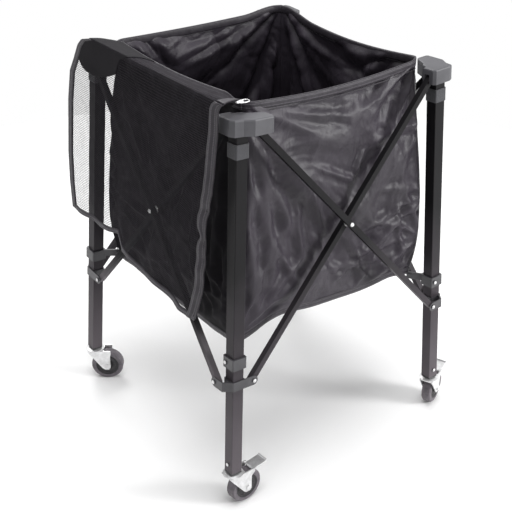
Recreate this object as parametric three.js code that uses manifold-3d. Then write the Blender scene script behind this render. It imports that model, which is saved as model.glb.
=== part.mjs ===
// Folding ball cart: a cloth bag hung between four square legs, with a crossed pair of bars on each
// side, a cap on each leg, sliding brackets, swivel casters and a mesh lid that hangs down one side.
// Millimetres, +Z up. Corners run front, right, back, left, and side k joins corner k to the next.
import * as THREE from 'three';
import { mergeVertices } from 'three/addons/utils/BufferGeometryUtils.js';
import Module from 'manifold-3d';

const wasm = await Module();
wasm.setup();

// Frame
const legSpacing = 486;        // between leg axes, level with the underside of the caps
const leanDegrees = 2.94;      // every leg leans in by this much in both of its sides
const capUnderHeight = 794;    // floor to the underside of the caps
const footRise = 13;           // lower end of a leg tube, above the wheels
const seatGap = 0.3;           // between pieces that touch
const slideGap = 0.4;          // between a leg and a sleeve that slides on it
const overrun = 5;             // how far a cut runs past a face

// Leg tube
const tubeWidth = 25;
const tubeWall = 1.6;
const tubeCorner = 1.2;
const tubeInnerCorner = 0.6;
const tubeInCap = 24;          // length of tube inside the cap

// Bars
const barWidth = 12;           // in the plane of the side
const barDepth = 12;           // across the side
const barTail = 8;             // lower end, past the lower pivot
const innerBarFace = 0.1;      // inner face of the inner bar, outward from the leg axes
const pivotDrop = 60;          // lower pivots below the top of the upper brackets
const pivotRise = 9;           // top pivots above the underside of the caps
const outerTopReach = 24;      // top pivot of the outer bar, from the leg axis
const innerTopReach = 23;      // top pivot of the inner bar, from the leg axis
const outerLowReach = 25;      // lower pivot of the outer bar, from the leg axis
const innerLowReach = 36;      // lower pivot of the inner bar, from the leg axis
const pinRadius = 2.6;
const rivetRadius = 4.6;       // head of a pivot rivet
const rivetHead = 2;           // height of a head
const spacerRadius = 8;
const rivetCrownShare = 0.7;   // flat top of a rounded head, of its radius

// Slider bracket
const plateThickness = 2.3;
const sliderHeight = 20;
const earTip = 9;              // ear past its pivot
const joggleStart = 12.5;      // start of the outer ear's bend, behind the leg axis
const joggleEnd = 1;           // end of the bend, behind the leg axis

// Upper bracket
const bracketWall = 3.7;
const bracketHeight = 24;
const bracketTopHeight = 352;
const armReach = 54;           // tip of the arm, from the leg axis along the diagonal
const armThickness = 4;
const armHeight = 16;
const armTipRise = 5.4;        // top of the arm's tip above the sleeve
const bracketRivetOffset = 7;

// Cap
const capHeight = 30;
const capBevel = 3;
const capOuter = 27;           // past the leg axis, on the side before the corner
const capBack = 32;            // past the leg axis, towards the corner before
const capNear = 20;            // past the leg axis, on the corner's own side
const capArm = 57;             // end of the long arm, from the leg axis
const capArmOuter = 32;        // outer face of the long arm, from the leg axis
const capInner = 19.3;         // inner corner of the cap
const capChamfer = 5;
const capPocketRise = 18;      // roof of a bar pocket above the underside

// Strap round each leg
const strapThickness = 1.6;
const strapHeight = 27;
const strapDrop = 17;          // strap's top below the underside of the caps

// Casters
const wheelRadius = 37.5;
const wheelWidth = 22;
const tyreEdge = 3;
const hubRadius = 24;
const hubDish = 3;
const axleRadius = 4;
const nutRadius = 6.5;
const wheelSideCount = 28;
const casterTrail = 28;
const forkPlate = 2.5;
const forkGap = 2.5;           // between the wheel and each fork plate
const bossRadius = 9;
const forkReach = 38;          // top of the fork plates, past the swivel axis
const brakedForkReach = 45;    // the same, with ears that hold the pedal's cross pin
const forkEye = 8;             // fork plate past the axle
const forkToe = 12;            // fork plate before the axle
const forkEyeDrop = 10;        // lower end of a fork plate, below the axle
const crownBackShare = 0.8;    // crown behind the swivel axis, of the dish
const dishFootShare = 0.75;
const dishTopShare = 0.7;
const crownRise = 4;           // top of the fork's crown, above the wheel
const dishRadius = 21.5;
const leanRoom = 1.4;          // below the flange, because the leg leans and the caster doesn't
const stemRadius = 4;
const stemLength = 16;
const plugFlange = 3;
const plugDepth = 20;
const plugBore = 6.5;
const footRivetHeight = 18;    // above the lower end of the tube
const footRivetRadius = 3.4;
const pedalWidth = 26;
const pedalThickness = 2;
const pedalLength = 38;
const pedalTiltDegrees = 6;    // the tread rises to its lip
const pedalLip = 2.5;
const pedalPinReach = 41;      // past the swivel axis
const pedalPinDrop = 3.5;      // below the top of the crown
const swivelDegrees = [3, -67, -160, 52];   // trail of each caster, from its own side's direction
const brakedCorners = [0, 1];

// Bag
const clothThickness = 2.6;
const bagInset = 21;           // rim of the bag, inward from the leg axes under the caps
const bagFill = 21;            // how much further out the bag is where it is fullest
const bagFullHeight = 500;
const bagFullRise = 300;       // from there up to where the bag starts to widen
const bagTuck = 13;            // how far its lower edge draws in again
const bagTuckDrop = 150;
const bagBulge = 5;
const bulgeEndShare = 0.1;     // keeps a little bulge at the lower edge and the rim
const rimRise = 42;            // rim at the corners, above the underside of the caps
const rimSag = 13;
const bagLift = 20;            // middle of the bag's lower edge, above the upper brackets
const cornerDrop = 15;         // bag's lower corners below the middle of its lower edge
const cornerDropLength = 72;
const floorSag = 14;
const bagColumnCount = 14;
const bagRowCount = 7;

// Lid, which hangs from a flap of the bag over one side
const lidSide = 3;
const lidColumnCount = 36;
const lidRowCount = 6;
const lidClearance = 3.9;      // between the lid and the rivets behind it
const lidWidth = 518;
const lidLength = 450;
const lidOverhang = 57;        // past the far leg's axis
const lidRuffle = 3.4;
const lidRuffleCount = 5;
const flapRise = 12;           // flap above the rim
const flapRowCount = 3;
const lidLowShares = [         // across the lid from its far end, and down from its top
  [0, 0.88], [0.073, 0.884], [0.174, 0.873], [0.247, 0.88], [0.328, 0.867],
  [0.392, 0.849], [0.431, 0.922], [0.521, 0.942], [0.625, 0.964], [0.734, 0.969],
  [0.844, 0.982], [0.892, 1],
];
const lidFarShares = [         // down from the top, and across
  [0, 0.073], [0.027, 0.037], [0.08, 0.012], [0.187, 0], [0.818, 0], [0.884, 0.019],
];
const lidNearShares = [
  [0, 1], [0.24, 0.977], [0.438, 0.958], [0.729, 0.923], [1, 0.9],
];
const pullAcrossShare = 0.965; // zip pull's place along the flap
const pullOutShare = 0.45;     // and across it
const pullWidth = 6;
const pullLength = 15;
const pullThickness = 1;

const cornerNames = ['front', 'right', 'back', 'left'];
const sideNames = ['front_right', 'right_back', 'back_left', 'left_front'];

const degree = Math.PI / 180;
const slope = Math.tan(leanDegrees * degree);
const sideSlant = Math.hypot(1, slope);
const legSlant = Math.sqrt(1 + 2 * slope * slope);
const leanInSide = Math.atan(slope / sideSlant);
const halfSpacing = legSpacing / 2;
const footHeight = 2 * wheelRadius + footRise;
const crownHeight = 2 * wheelRadius + crownRise;
const pivotHeight = bracketTopHeight - pivotDrop;
const strapTopHeight = capUnderHeight - strapDrop;
const bagHalf = halfSpacing - bagInset;
const rimHeight = capUnderHeight + rimRise;
const bagBottomHeight = bracketTopHeight + bagLift;
const halfTube = tubeWidth / 2;
const sleeveInner = halfTube + slideGap;
const sleeveOuter = sleeveInner + plateThickness;
const outerBarFace = sleeveOuter + slideGap;
const outerEarFace = outerBarFace + barDepth + slideGap + seatGap;
const lidInnerFace = outerEarFace + plateThickness + rivetHead + lidClearance - clothThickness / 2;
const lidTopHeight = rimHeight + flapRise;

function material(color, roughness, metalness) {
  return new THREE.MeshStandardMaterial({ color, roughness, metalness });
}

const satinBlack = material(0x2c2b2f, 0.42, 0.35);
const greyPlastic = material(0x5c5b61, 0.55, 0);
const blackSteel = material(0x4a494e, 0.5, 0.4);
const webbing = material(0x55545a, 0.9, 0);
const bagCloth = material(0x4b4850, 0.6, 0);
const meshCloth = material(0x232225, 0.9, 0);
const zinc = material(0xb9b6ac, 0.35, 0.9);
const tyreRubber = material(0x55565a, 0.7, 0);

// Solid work

function toSolid(geometry) {
  const bare = geometry.clone();
  bare.deleteAttribute('normal');
  bare.deleteAttribute('uv');
  const welded = mergeVertices(bare);
  const vertProperties = welded.attributes.position.array;
  const triVerts = new Uint32Array(welded.index.array);
  return new wasm.Manifold(new wasm.Mesh({ numProp: 3, vertProperties, triVerts }));
}

function toGeometry(solid) {
  const mesh = solid.getMesh();
  const geometry = new THREE.BufferGeometry();
  geometry.setAttribute('position', new THREE.BufferAttribute(mesh.vertProperties, 3));
  geometry.setIndex(new THREE.BufferAttribute(mesh.triVerts, 1));
  geometry.computeVertexNormals();
  return geometry;
}

function join(...geometries) {
  return toGeometry(geometries.map(toSolid).reduce((sum, next) => sum.add(next)));
}

function cut(base, ...tools) {
  return toGeometry(tools.map(toSolid).reduce((rest, tool) => rest.subtract(tool), toSolid(base)));
}

// A box between two corners.
function block(low, high) {
  const size = high.map((value, axis) => value - low[axis]);
  const middle = high.map((value, axis) => (value + low[axis]) / 2);
  return new THREE.BoxGeometry(...size).translate(...middle);
}

// A round rod along an axis, from one end to the other.
function rod(radius, axis, from, to, sides = 12) {
  const geometry = new THREE.CylinderGeometry(radius, radius, to - from, sides);
  geometry.translate(0, (from + to) / 2, 0);
  if (axis === 'x') geometry.rotateZ(-Math.PI / 2);
  if (axis === 'z') geometry.rotateX(Math.PI / 2);
  return geometry;
}

function polygon(points) {
  return new THREE.Shape(points.map(([x, y]) => new THREE.Vector2(x, y)));
}

function extruded(shape, depth, curveSegments = 3) {
  return new THREE.ExtrudeGeometry(shape, { depth, bevelEnabled: false, curveSegments });
}

function roundedSquare(half, radius) {
  const shape = new THREE.Shape();
  const inner = half - radius;
  shape.absarc(inner, inner, radius, 0, Math.PI / 2);
  shape.absarc(-inner, inner, radius, Math.PI / 2, Math.PI);
  shape.absarc(-inner, -inner, radius, Math.PI, 1.5 * Math.PI);
  shape.absarc(inner, -inner, radius, 1.5 * Math.PI, 2 * Math.PI);
  return shape;
}

// A square sleeve between two heights.
function sleeve(innerHalf, outerHalf, innerCorner, outerCorner, low, high) {
  const shape = roundedSquare(outerHalf, outerCorner);
  shape.holes.push(roundedSquare(innerHalf, innerCorner));
  return extruded(shape, high - low, 2).translate(0, 0, low);
}

// A closed sheet of cloth: place(u, v, face) gives a point of its face 0 or face 1.
function sheet(columns, rows, place) {
  const positions = [];
  const index = [];
  const perFace = (columns + 1) * (rows + 1);
  for (const face of [0, 1]) {
    for (let row = 0; row <= rows; row += 1) {
      for (let column = 0; column <= columns; column += 1) {
        positions.push(...place(column / columns, row / rows, face));
      }
    }
  }
  const at = (column, row, face) => face * perFace + row * (columns + 1) + column;
  const quad = (a, b, c, d) => index.push(a, b, c, a, c, d);
  for (let row = 0; row < rows; row += 1) {
    for (let column = 0; column < columns; column += 1) {
      const [a, b] = [at(column, row, 0), at(column + 1, row, 0)];
      const [c, d] = [at(column + 1, row + 1, 0), at(column, row + 1, 0)];
      quad(a, b, c, d);
      quad(a + perFace, d + perFace, c + perFace, b + perFace);
    }
  }
  const border = [];
  for (let column = 0; column < columns; column += 1) border.push([column, 0]);
  for (let row = 0; row < rows; row += 1) border.push([columns, row]);
  for (let column = columns; column > 0; column -= 1) border.push([column, rows]);
  for (let row = rows; row > 0; row -= 1) border.push([0, row]);
  border.forEach(([column, row], place) => {
    const [nextColumn, nextRow] = border[(place + 1) % border.length];
    quad(at(nextColumn, nextRow, 0), at(column, row, 0), at(column, row, 1), at(nextColumn, nextRow, 1));
  });
  const geometry = new THREE.BufferGeometry();
  geometry.setAttribute('position', new THREE.Float32BufferAttribute(positions, 3));
  geometry.setIndex(index);
  geometry.computeVertexNormals();
  return geometry;
}

function piece(name, geometry, finish) {
  const mesh = new THREE.Mesh(geometry, finish);
  mesh.name = name;
  return mesh;
}

// Places

// Along a side's plane, down from the caps' underside.
const inSide = (height) => -(capUnderHeight - height) * sideSlant;
// Along a leg, down from the caps' underside.
const onLeg = (height) => -(capUnderHeight - height) * legSlant;
// From the middle of a side to a leg axis at a height.
const halfAt = (height) => halfSpacing + slope * (capUnderHeight - height);

// A point beside a leg, in the plane of the side. sign is -1 for the near leg and 1 for the next.
function besideLeg(sign, alongLeg, reach) {
  const across = halfSpacing - alongLeg * Math.sin(leanInSide) - reach * Math.cos(leanInSide);
  const up = alongLeg * Math.cos(leanInSide) - reach * Math.sin(leanInSide);
  return new THREE.Vector2(sign * across, up);
}

// Legs

function legTube() {
  const low = onLeg(footHeight);
  const inner = halfTube - tubeWall;
  const tube = sleeve(inner, halfTube, tubeInnerCorner, tubeCorner, low, tubeInCap);
  const hole = rod(pinRadius + seatGap, 'x', -halfTube - overrun, 0);
  return cut(tube, hole.translate(0, 0, low + footRivetHeight));
}

function legStrap() {
  const outer = halfTube + seatGap + strapThickness;
  const top = onLeg(strapTopHeight);
  const corner = tubeCorner + strapThickness;
  return sleeve(halfTube + seatGap, outer, tubeCorner, corner, top - strapHeight, top);
}

function upperBracket() {
  const outer = sleeveInner + bracketWall;
  const top = onLeg(bracketTopHeight);
  const corner = tubeCorner + bracketWall / 2;
  const ring = sleeve(sleeveInner, outer, tubeCorner, corner, top - bracketHeight, top);
  const halfArm = armThickness / 2;
  const armRoot = outer * Math.SQRT2 - corner;
  const tipTop = top + armTipRise;
  const side = polygon([
    [armRoot, top - armHeight], [armReach, tipTop - armHeight], [armReach, tipTop], [armRoot, top],
  ]);
  const arm = extruded(side, armThickness).rotateX(Math.PI / 2).translate(0, halfArm, 0);
  const eyelet = rod(rivetRadius, 'y', -halfArm - rivetHead, halfArm + rivetHead);
  const eyeletPlace = armReach - rivetRadius - rivetHead;
  const tip = join(arm, eyelet.translate(eyeletPlace, 0, tipTop - armHeight / 2));
  tip.rotateZ(Math.PI / 4);
  const head = rod(rivetRadius, 'x', -outer - rivetHead, -outer + halfArm / 2);
  head.translate(0, bracketRivetOffset, top - bracketHeight / 2);
  return join(ring, tip, head);
}

function capOutline() {
  return polygon([
    [-capOuter, -capNear + 2 * capChamfer],
    [-capOuter + capChamfer, -capNear],
    [-capChamfer, -capNear - capChamfer / 2],
    [halfTube, -capArmOuter],
    [capArm - capChamfer, -capArmOuter],
    [capArm, -capArmOuter + capChamfer],
    [capArm, -capChamfer],
    [capArm - capChamfer, 0],
    [capInner + capChamfer, halfTube],
    [capInner, capInner],
    [capChamfer, capInner + capChamfer],
    [capChamfer, capBack],
    [-capOuter + capChamfer, capBack],
    [-capOuter, capBack - capChamfer],
  ]);
}

function topCap() {
  const bevel = { bevelThickness: capBevel, bevelSize: capBevel, bevelOffset: -capBevel, bevelSegments: 2 };
  const depth = capHeight - capBevel;
  const body = new THREE.ExtrudeGeometry(capOutline(), { depth, ...bevel });
  const far = 2 * capArm;
  const below = block([-far, -far, -capHeight], [far, far, 0]);
  const half = halfTube + seatGap;
  const socket = block([-half, -half, -overrun], [half, half, tubeInCap + seatGap]);
  const outerLow = [outerTopReach - barWidth, -outerBarFace - barDepth - seatGap, -overrun];
  const outerHigh = [capArm - capChamfer, -outerBarFace + seatGap, capPocketRise];
  const innerLow = [-innerBarFace - barDepth - seatGap, half + plateThickness, -overrun];
  const innerHigh = [-innerBarFace + seatGap, capBack + overrun, capPocketRise];
  const hollowed = cut(body, below, socket, block(outerLow, outerHigh), block(innerLow, innerHigh));
  const outerPin = rod(pinRadius, 'y', outerLow[1] - seatGap, outerHigh[1] + seatGap);
  const innerPin = rod(pinRadius, 'x', innerLow[0] - seatGap, innerHigh[0] + seatGap);
  outerPin.translate(outerTopReach, 0, pivotRise);
  innerPin.translate(0, innerTopReach, pivotRise);
  return join(hollowed, outerPin, innerPin);
}

// Crossed bars

function bar(length, crossing) {
  const half = barWidth / 2;
  const shape = new THREE.Shape();
  shape.absarc(length + barTail - half, 0, half, -Math.PI / 2, Math.PI / 2);
  shape.absarc(0, 0, half, Math.PI / 2, 1.5 * Math.PI);
  const hole = new THREE.Path();
  hole.absarc(0, 0, pinRadius + seatGap, 0, 2 * Math.PI);
  shape.holes.push(hole);
  if (crossing) {
    const middle = new THREE.Path();
    middle.absarc(crossing, 0, pinRadius + seatGap, 0, 2 * Math.PI);
    shape.holes.push(middle);
  }
  return extruded(shape, barDepth, 5).rotateX(Math.PI / 2);
}

// Holds the outer bar to a spacer that keeps it off the inner bar.
function centreRivet() {
  const between = outerBarFace - innerBarFace - barDepth;
  const outer = barDepth + seatGap;
  return new THREE.LatheGeometry([
    new THREE.Vector2(0, -outer - rivetHead),
    new THREE.Vector2(rivetRadius * rivetCrownShare, -outer - rivetHead),
    new THREE.Vector2(rivetRadius, -outer),
    new THREE.Vector2(pinRadius, -outer),
    new THREE.Vector2(pinRadius, seatGap),
    new THREE.Vector2(spacerRadius, seatGap),
    new THREE.Vector2(spacerRadius, between - seatGap),
    new THREE.Vector2(0, between - seatGap),
  ], 12);
}

// Slider brackets

// An ear in the x-z plane with a round tip, from x = 0 to its pivot and past it.
function ear(reach, thickness) {
  const half = sliderHeight / 2;
  const shape = new THREE.Shape();
  shape.moveTo(0, -half);
  shape.lineTo(reach - half / 2, -half);
  shape.absarc(reach + earTip - half, 0, half, -Math.PI / 2, Math.PI / 2);
  shape.lineTo(0, half);
  return extruded(shape, thickness, 4).rotateX(Math.PI / 2);
}

function sliderBracket() {
  const half = sliderHeight / 2;
  const ring = sleeve(sleeveInner, sleeveOuter, tubeCorner, tubeCorner + plateThickness, -half, half);
  const innerEar = ear(innerLowReach, plateThickness).translate(0, -sleeveInner, 0);
  const bore = block([-sleeveInner, -sleeveInner, -sliderHeight], [sleeveInner, sleeveInner, sliderHeight]);
  const innerRivet = rod(rivetRadius, 'y', -sleeveOuter - rivetHead, -innerBarFace - barDepth - seatGap);
  innerRivet.translate(innerLowReach, 0, 0);
  const outerEar = ear(outerLowReach, plateThickness);
  outerEar.rotateZ(Math.PI / 2).translate(-outerEarFace - plateThickness, 0, 0);
  const outerRivet = rod(rivetRadius, 'x', -outerEarFace - plateThickness - rivetHead, -outerEarFace);
  outerRivet.translate(0, outerLowReach, 0);
  const bend = polygon([
    [-sleeveInner - plateThickness / 2, -joggleStart],
    [-outerEarFace - plateThickness, -joggleEnd],
    [-outerEarFace - plateThickness, joggleEnd],
    [-outerEarFace, joggleEnd],
    [-sleeveInner - plateThickness / 2, -joggleStart + 2 * plateThickness],
  ].reverse());
  const web = extruded(bend, sliderHeight).translate(0, 0, -half);
  return cut(join(ring, innerEar, innerRivet, web, outerEar, outerRivet), bore);
}

// Feet and casters

function footPlug() {
  const low = onLeg(footHeight);
  const flange = extruded(roundedSquare(halfTube, tubeCorner), plugFlange, 3);
  flange.translate(0, 0, low - plugFlange - seatGap);
  const inner = halfTube - tubeWall - seatGap;
  const body = extruded(roundedSquare(inner, tubeInnerCorner), plugDepth + plugFlange, 3);
  body.translate(0, 0, low - plugFlange);
  const bore = rod(plugBore, 'z', low - plugFlange - overrun, low + plugDepth - plugFlange);
  const height = low + footRivetHeight;
  const shank = rod(pinRadius, 'x', -halfTube - seatGap - rivetHead, -inner + tubeWall);
  const head = rod(footRivetRadius, 'x', -halfTube - seatGap - rivetHead, -halfTube - seatGap);
  return cut(join(flange, body, shank.translate(0, 0, height), head.translate(0, 0, height)), bore);
}

const wheelCentre = wheelRadius * Math.cos(Math.PI / wheelSideCount);
const forkInner = wheelWidth / 2 + forkGap;
const forkOuter = forkInner + forkPlate;

// A fork with its swivel axis at x = 0 and its wheel trailing along +x.
function casterFork(reach) {
  const back = -dishRadius * crownBackShare;
  const cheek = polygon([
    [casterTrail - forkToe, wheelCentre - forkEyeDrop / 2],
    [casterTrail - forkToe / 2, wheelCentre - forkEyeDrop],
    [casterTrail + forkEye / 2, wheelCentre - forkEyeDrop],
    [casterTrail + forkEye, wheelCentre - forkEyeDrop / 2],
    [casterTrail + forkEye, crownHeight - 2 * forkEye],
    [reach, crownHeight - forkEye],
    [reach, crownHeight],
    [back, crownHeight],
    [back, crownHeight - forkPlate],
  ]);
  const plate = extruded(cheek, forkPlate).rotateX(Math.PI / 2);
  const left = plate.clone().translate(0, forkOuter, 0);
  const right = plate.clone().translate(0, -forkInner, 0);
  const crown = block([back, -forkOuter, crownHeight - forkPlate], [dishRadius, forkOuter, crownHeight]);
  const dishTop = footHeight - plugFlange - leanRoom - seatGap;
  const dish = new THREE.LatheGeometry([
    new THREE.Vector2(0, crownHeight - forkPlate / 2),
    new THREE.Vector2(dishRadius * dishFootShare, crownHeight - forkPlate / 2),
    new THREE.Vector2(dishRadius * dishFootShare, crownHeight + forkPlate / 2),
    new THREE.Vector2(dishRadius, crownHeight + forkPlate / 2),
    new THREE.Vector2(dishRadius, crownHeight + forkPlate),
    new THREE.Vector2(dishRadius * dishTopShare, dishTop - seatGap),
    new THREE.Vector2(0, dishTop - seatGap),
  ], 20).rotateX(Math.PI / 2);
  const stem = rod(stemRadius, 'z', crownHeight, dishTop + stemLength);
  const eye = rod(axleRadius + seatGap, 'y', -forkOuter - overrun, forkOuter + overrun);
  const body = join(left, right, crown, dish, stem);
  return cut(body, eye.translate(casterTrail, 0, wheelCentre)).translate(0, 0, -footHeight);
}

function wheel() {
  const half = wheelWidth / 2;
  const bore = axleRadius + seatGap;
  const profile = [
    [bore, -half - forkGap / 2], [bossRadius, -half - forkGap / 2], [bossRadius, -half + hubDish],
    [hubRadius, -half + hubDish], [hubRadius + tyreEdge, -half], [wheelRadius - tyreEdge, -half],
    [wheelRadius, -half + tyreEdge], [wheelRadius, half - tyreEdge], [wheelRadius - tyreEdge, half],
    [hubRadius + tyreEdge, half], [hubRadius, half - hubDish], [bossRadius, half - hubDish],
    [bossRadius, half + forkGap / 2], [bore, half + forkGap / 2], [bore, -half - forkGap / 2],
  ];
  const geometry = new THREE.LatheGeometry(profile.map(([r, y]) => new THREE.Vector2(r, y)), wheelSideCount);
  return geometry.rotateY(Math.PI / wheelSideCount);
}

function axle() {
  const outer = forkOuter + seatGap;
  const shank = rod(axleRadius, 'y', -outer, outer);
  const head = rod(nutRadius, 'y', outer, outer + rivetHead, 6);
  const nut = rod(nutRadius, 'y', -outer - rivetHead, -outer, 6);
  return join(shank, head, nut);
}

// A foot brake over the trailing edge of the wheel, with its cross pin at x = 0.
function brakePedal() {
  const half = pedalWidth / 2;
  const tilt = pedalTiltDegrees * degree;
  const tread = block([0, -half, -pedalThickness], [pedalLength, half, 0]);
  const lip = block([pedalLength - pedalThickness, -half, -pedalThickness], [pedalLength, half, pedalLip]);
  const barrel = rod(pedalThickness, 'y', -forkInner + seatGap, forkInner - seatGap);
  return join(join(tread, lip).rotateY(-tilt), barrel);
}

// Bag and lid

function smooth(value) {
  const t = Math.min(1, Math.max(0, value));
  return t * t * (3 - 2 * t);
}

// How far the lower edge drops at a distance from a corner.
const dropAt = (distance) => cornerDrop * (1 - smooth(distance / cornerDropLength));

// Half the width of the full bag at a height.
function bagHalfAt(height) {
  const up = smooth((bagFullHeight + bagFullRise - height) / bagFullRise);
  const down = Math.max(0, (bagFullHeight - height) / bagTuckDrop);
  return bagHalf + bagFill * up - bagTuck * down * down;
}

// A side of the bag, seen from outside: u runs to the next corner and v up. rise lifts the rim.
function bagPanel(u, v, face, rise = 0) {
  const edge = Math.min(u, 1 - u) * 2 * bagHalf;
  const low = bagBottomHeight - dropAt(edge);
  const high = rimHeight + rise - rimSag * Math.sin(Math.PI * u);
  const height = low + v * (high - low);
  const half = bagHalfAt(height);
  const along = u * (2 * half - clothThickness - seatGap) - half;
  const swell = Math.sin(Math.PI * (bulgeEndShare + (1 - 2 * bulgeEndShare) * v));
  const bulge = bagBulge * Math.sin(Math.PI * u) * swell;
  return [along, -half - bulge + face * clothThickness, height];
}

// The panel on the lid's side runs on over the bars as a flap to the lid.
function lidPanel(u, v, face) {
  const panelShare = bagRowCount / (bagRowCount + flapRowCount);
  const rise = flapRise + face * clothThickness;
  const [along, across, top] = bagPanel(u, Math.min(1, v / panelShare), face, rise);
  const run = Math.max(0, (v - panelShare) / (1 - panelShare));
  const reach = lidInnerFace - slideGap;
  const end = -halfSpacing - reach / sideSlant + slope * (top - capUnderHeight);
  return [along, across + (end - across) * run, top];
}

function lookUp(table, value) {
  const next = table.findIndex(([key]) => key >= value);
  if (next === 0) return table[0][1];
  if (next < 0) return table[table.length - 1][1];
  const [lowKey, low] = table[next - 1];
  const [highKey, high] = table[next];
  return low + (high - low) * (value - lowKey) / (highKey - lowKey);
}

// The hanging lid: u runs across from its far end and v up.
function lid(u, v, face) {
  const drop = (1 - v) * lookUp(lidLowShares, u);
  const farShare = lookUp(lidFarShares, drop);
  const across = farShare + u * (lookUp(lidNearShares, drop) - farShare);
  const along = across * lidWidth - halfSpacing - lidOverhang;
  const fold = (1 - Math.cos(2 * Math.PI * lidRuffleCount * u)) / 2;
  const out = lidInnerFace + lidRuffle * fold * (1 - v * v);
  return [along, (face - 1) * clothThickness - out, inSide(lidTopHeight - drop * lidLength)];
}

function zipPull() {
  const shape = roundedSquare(pullWidth / 2, pullWidth / 3);
  return extruded(shape, pullThickness).scale(1, pullLength / pullWidth, 1);
}

function bagFloor(u, v, face) {
  const half = bagHalfAt(bagBottomHeight - cornerDrop) - clothThickness - seatGap;
  const x = half * (2 * u - 1);
  const y = half * (2 * v - 1);
  const drop = dropAt(half - Math.abs(x)) * dropAt(half - Math.abs(y)) / cornerDrop;
  const sag = floorSag * Math.sin(Math.PI * u) * Math.sin(Math.PI * v);
  return [x, y, bagBottomHeight + clothThickness * (2 - face) - sag - drop];
}

const cart = new THREE.Group();

function addCorner(corner) {
  const name = cornerNames[corner];
  const turned = new THREE.Group();
  turned.rotation.z = corner * Math.PI / 2;
  const side = new THREE.Group();
  side.position.set(0, -halfSpacing, capUnderHeight);
  side.rotation.x = -leanDegrees * degree;
  const leg = new THREE.Group();
  leg.position.x = -halfSpacing;
  leg.rotation.y = leanInSide;
  turned.add(side);
  side.add(leg);
  cart.add(turned);
  leg.add(piece(`leg_tube_${name}`, legTube(), satinBlack));
  leg.add(piece(`top_cap_${name}`, topCap(), greyPlastic));
  leg.add(piece(`leg_strap_${name}`, legStrap(), webbing));
  leg.add(piece(`upper_bracket_${name}`, upperBracket(), blackSteel));
  leg.add(piece(`foot_plug_${name}`, footPlug(), zinc));
  const slider = piece(`slider_bracket_${name}`, sliderBracket(), blackSteel);
  slider.position.z = onLeg(pivotHeight);
  leg.add(slider);
  return { turned, side, leg };
}

function addBars(corner, side) {
  const name = sideNames[corner];
  const low = onLeg(pivotHeight);
  const outerTop = besideLeg(-1, pivotRise, outerTopReach);
  const innerTop = besideLeg(1, pivotRise, innerTopReach);
  const outerLow = besideLeg(1, low, outerLowReach);
  const innerLow = besideLeg(-1, low, innerLowReach);
  const outerRun = outerLow.clone().sub(outerTop);
  const innerRun = innerLow.clone().sub(innerTop);
  const across = innerTop.clone().sub(outerTop);
  const crossing = across.cross(innerRun) / outerRun.cross(innerRun) * outerRun.length();
  const outer = piece(`outer_bar_${name}`, bar(outerRun.length(), crossing), satinBlack);
  outer.position.set(outerTop.x, -outerBarFace, outerTop.y);
  outer.rotation.y = -outerRun.angle();
  const inner = piece(`inner_bar_${name}`, bar(innerRun.length(), 0), satinBlack);
  inner.position.set(innerTop.x, -innerBarFace, innerTop.y);
  inner.rotation.y = -innerRun.angle();
  const rivet = piece(`centre_rivet_${name}`, centreRivet(), zinc);
  const middle = outerRun.clone().setLength(crossing).add(outerTop);
  rivet.position.set(middle.x, -outerBarFace, middle.y);
  side.add(outer, inner, rivet);
}

function addCaster(corner, turned) {
  const name = cornerNames[corner];
  const caster = new THREE.Group();
  const half = halfAt(footHeight);
  caster.position.set(-half, -half, footHeight);
  caster.rotation.z = swivelDegrees[corner] * degree;
  turned.add(caster);
  const braked = brakedCorners.includes(corner);
  const reach = braked ? brakedForkReach : forkReach;
  caster.add(piece(`caster_fork_${name}`, casterFork(reach), zinc));
  const round = piece(`wheel_${name}`, wheel(), tyreRubber);
  const pin = piece(`axle_${name}`, axle(), zinc);
  for (const part of [round, pin]) {
    part.position.set(casterTrail, 0, wheelCentre - footHeight);
    caster.add(part);
  }
  if (braked) {
    const pedal = piece(`brake_pedal_${name}`, brakePedal(), zinc);
    pedal.position.set(pedalPinReach, 0, crownHeight - pedalPinDrop - footHeight);
    caster.add(pedal);
  }
}

function addCloth(corner, turned, side) {
  const name = `bag_panel_${sideNames[corner]}`;
  if (corner !== lidSide) {
    const cloth = sheet(bagColumnCount, bagRowCount, (u, v, face) => bagPanel(u, v, face));
    turned.add(piece(name, cloth, bagCloth));
    return;
  }
  turned.add(piece(name, sheet(bagColumnCount, bagRowCount + flapRowCount, lidPanel), bagCloth));
  side.add(piece('lid', sheet(lidColumnCount, lidRowCount, lid), meshCloth));
  const pull = piece('zip_pull', zipPull(), zinc);
  const panelShare = bagRowCount / (bagRowCount + flapRowCount);
  pull.position.set(...lidPanel(pullAcrossShare, panelShare + (1 - panelShare) * pullOutShare, 1));
  pull.position.z += 2 * seatGap;
  turned.add(pull);
}

cornerNames.forEach((name, corner) => {
  const { turned, side } = addCorner(corner);
  addBars(corner, side);
  addCaster(corner, turned);
  addCloth(corner, turned, side);
});
cart.add(piece('bag_floor', sheet(bagColumnCount, bagColumnCount, bagFloor), bagCloth));

const bounds = new THREE.Box3().setFromObject(cart, true);
const middle = bounds.getCenter(new THREE.Vector3());
cart.position.set(-middle.x, -middle.y, -bounds.min.z);

export default cart;
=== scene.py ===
import math

import bmesh
import bpy
from mathutils import Matrix, Vector, noise


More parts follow.
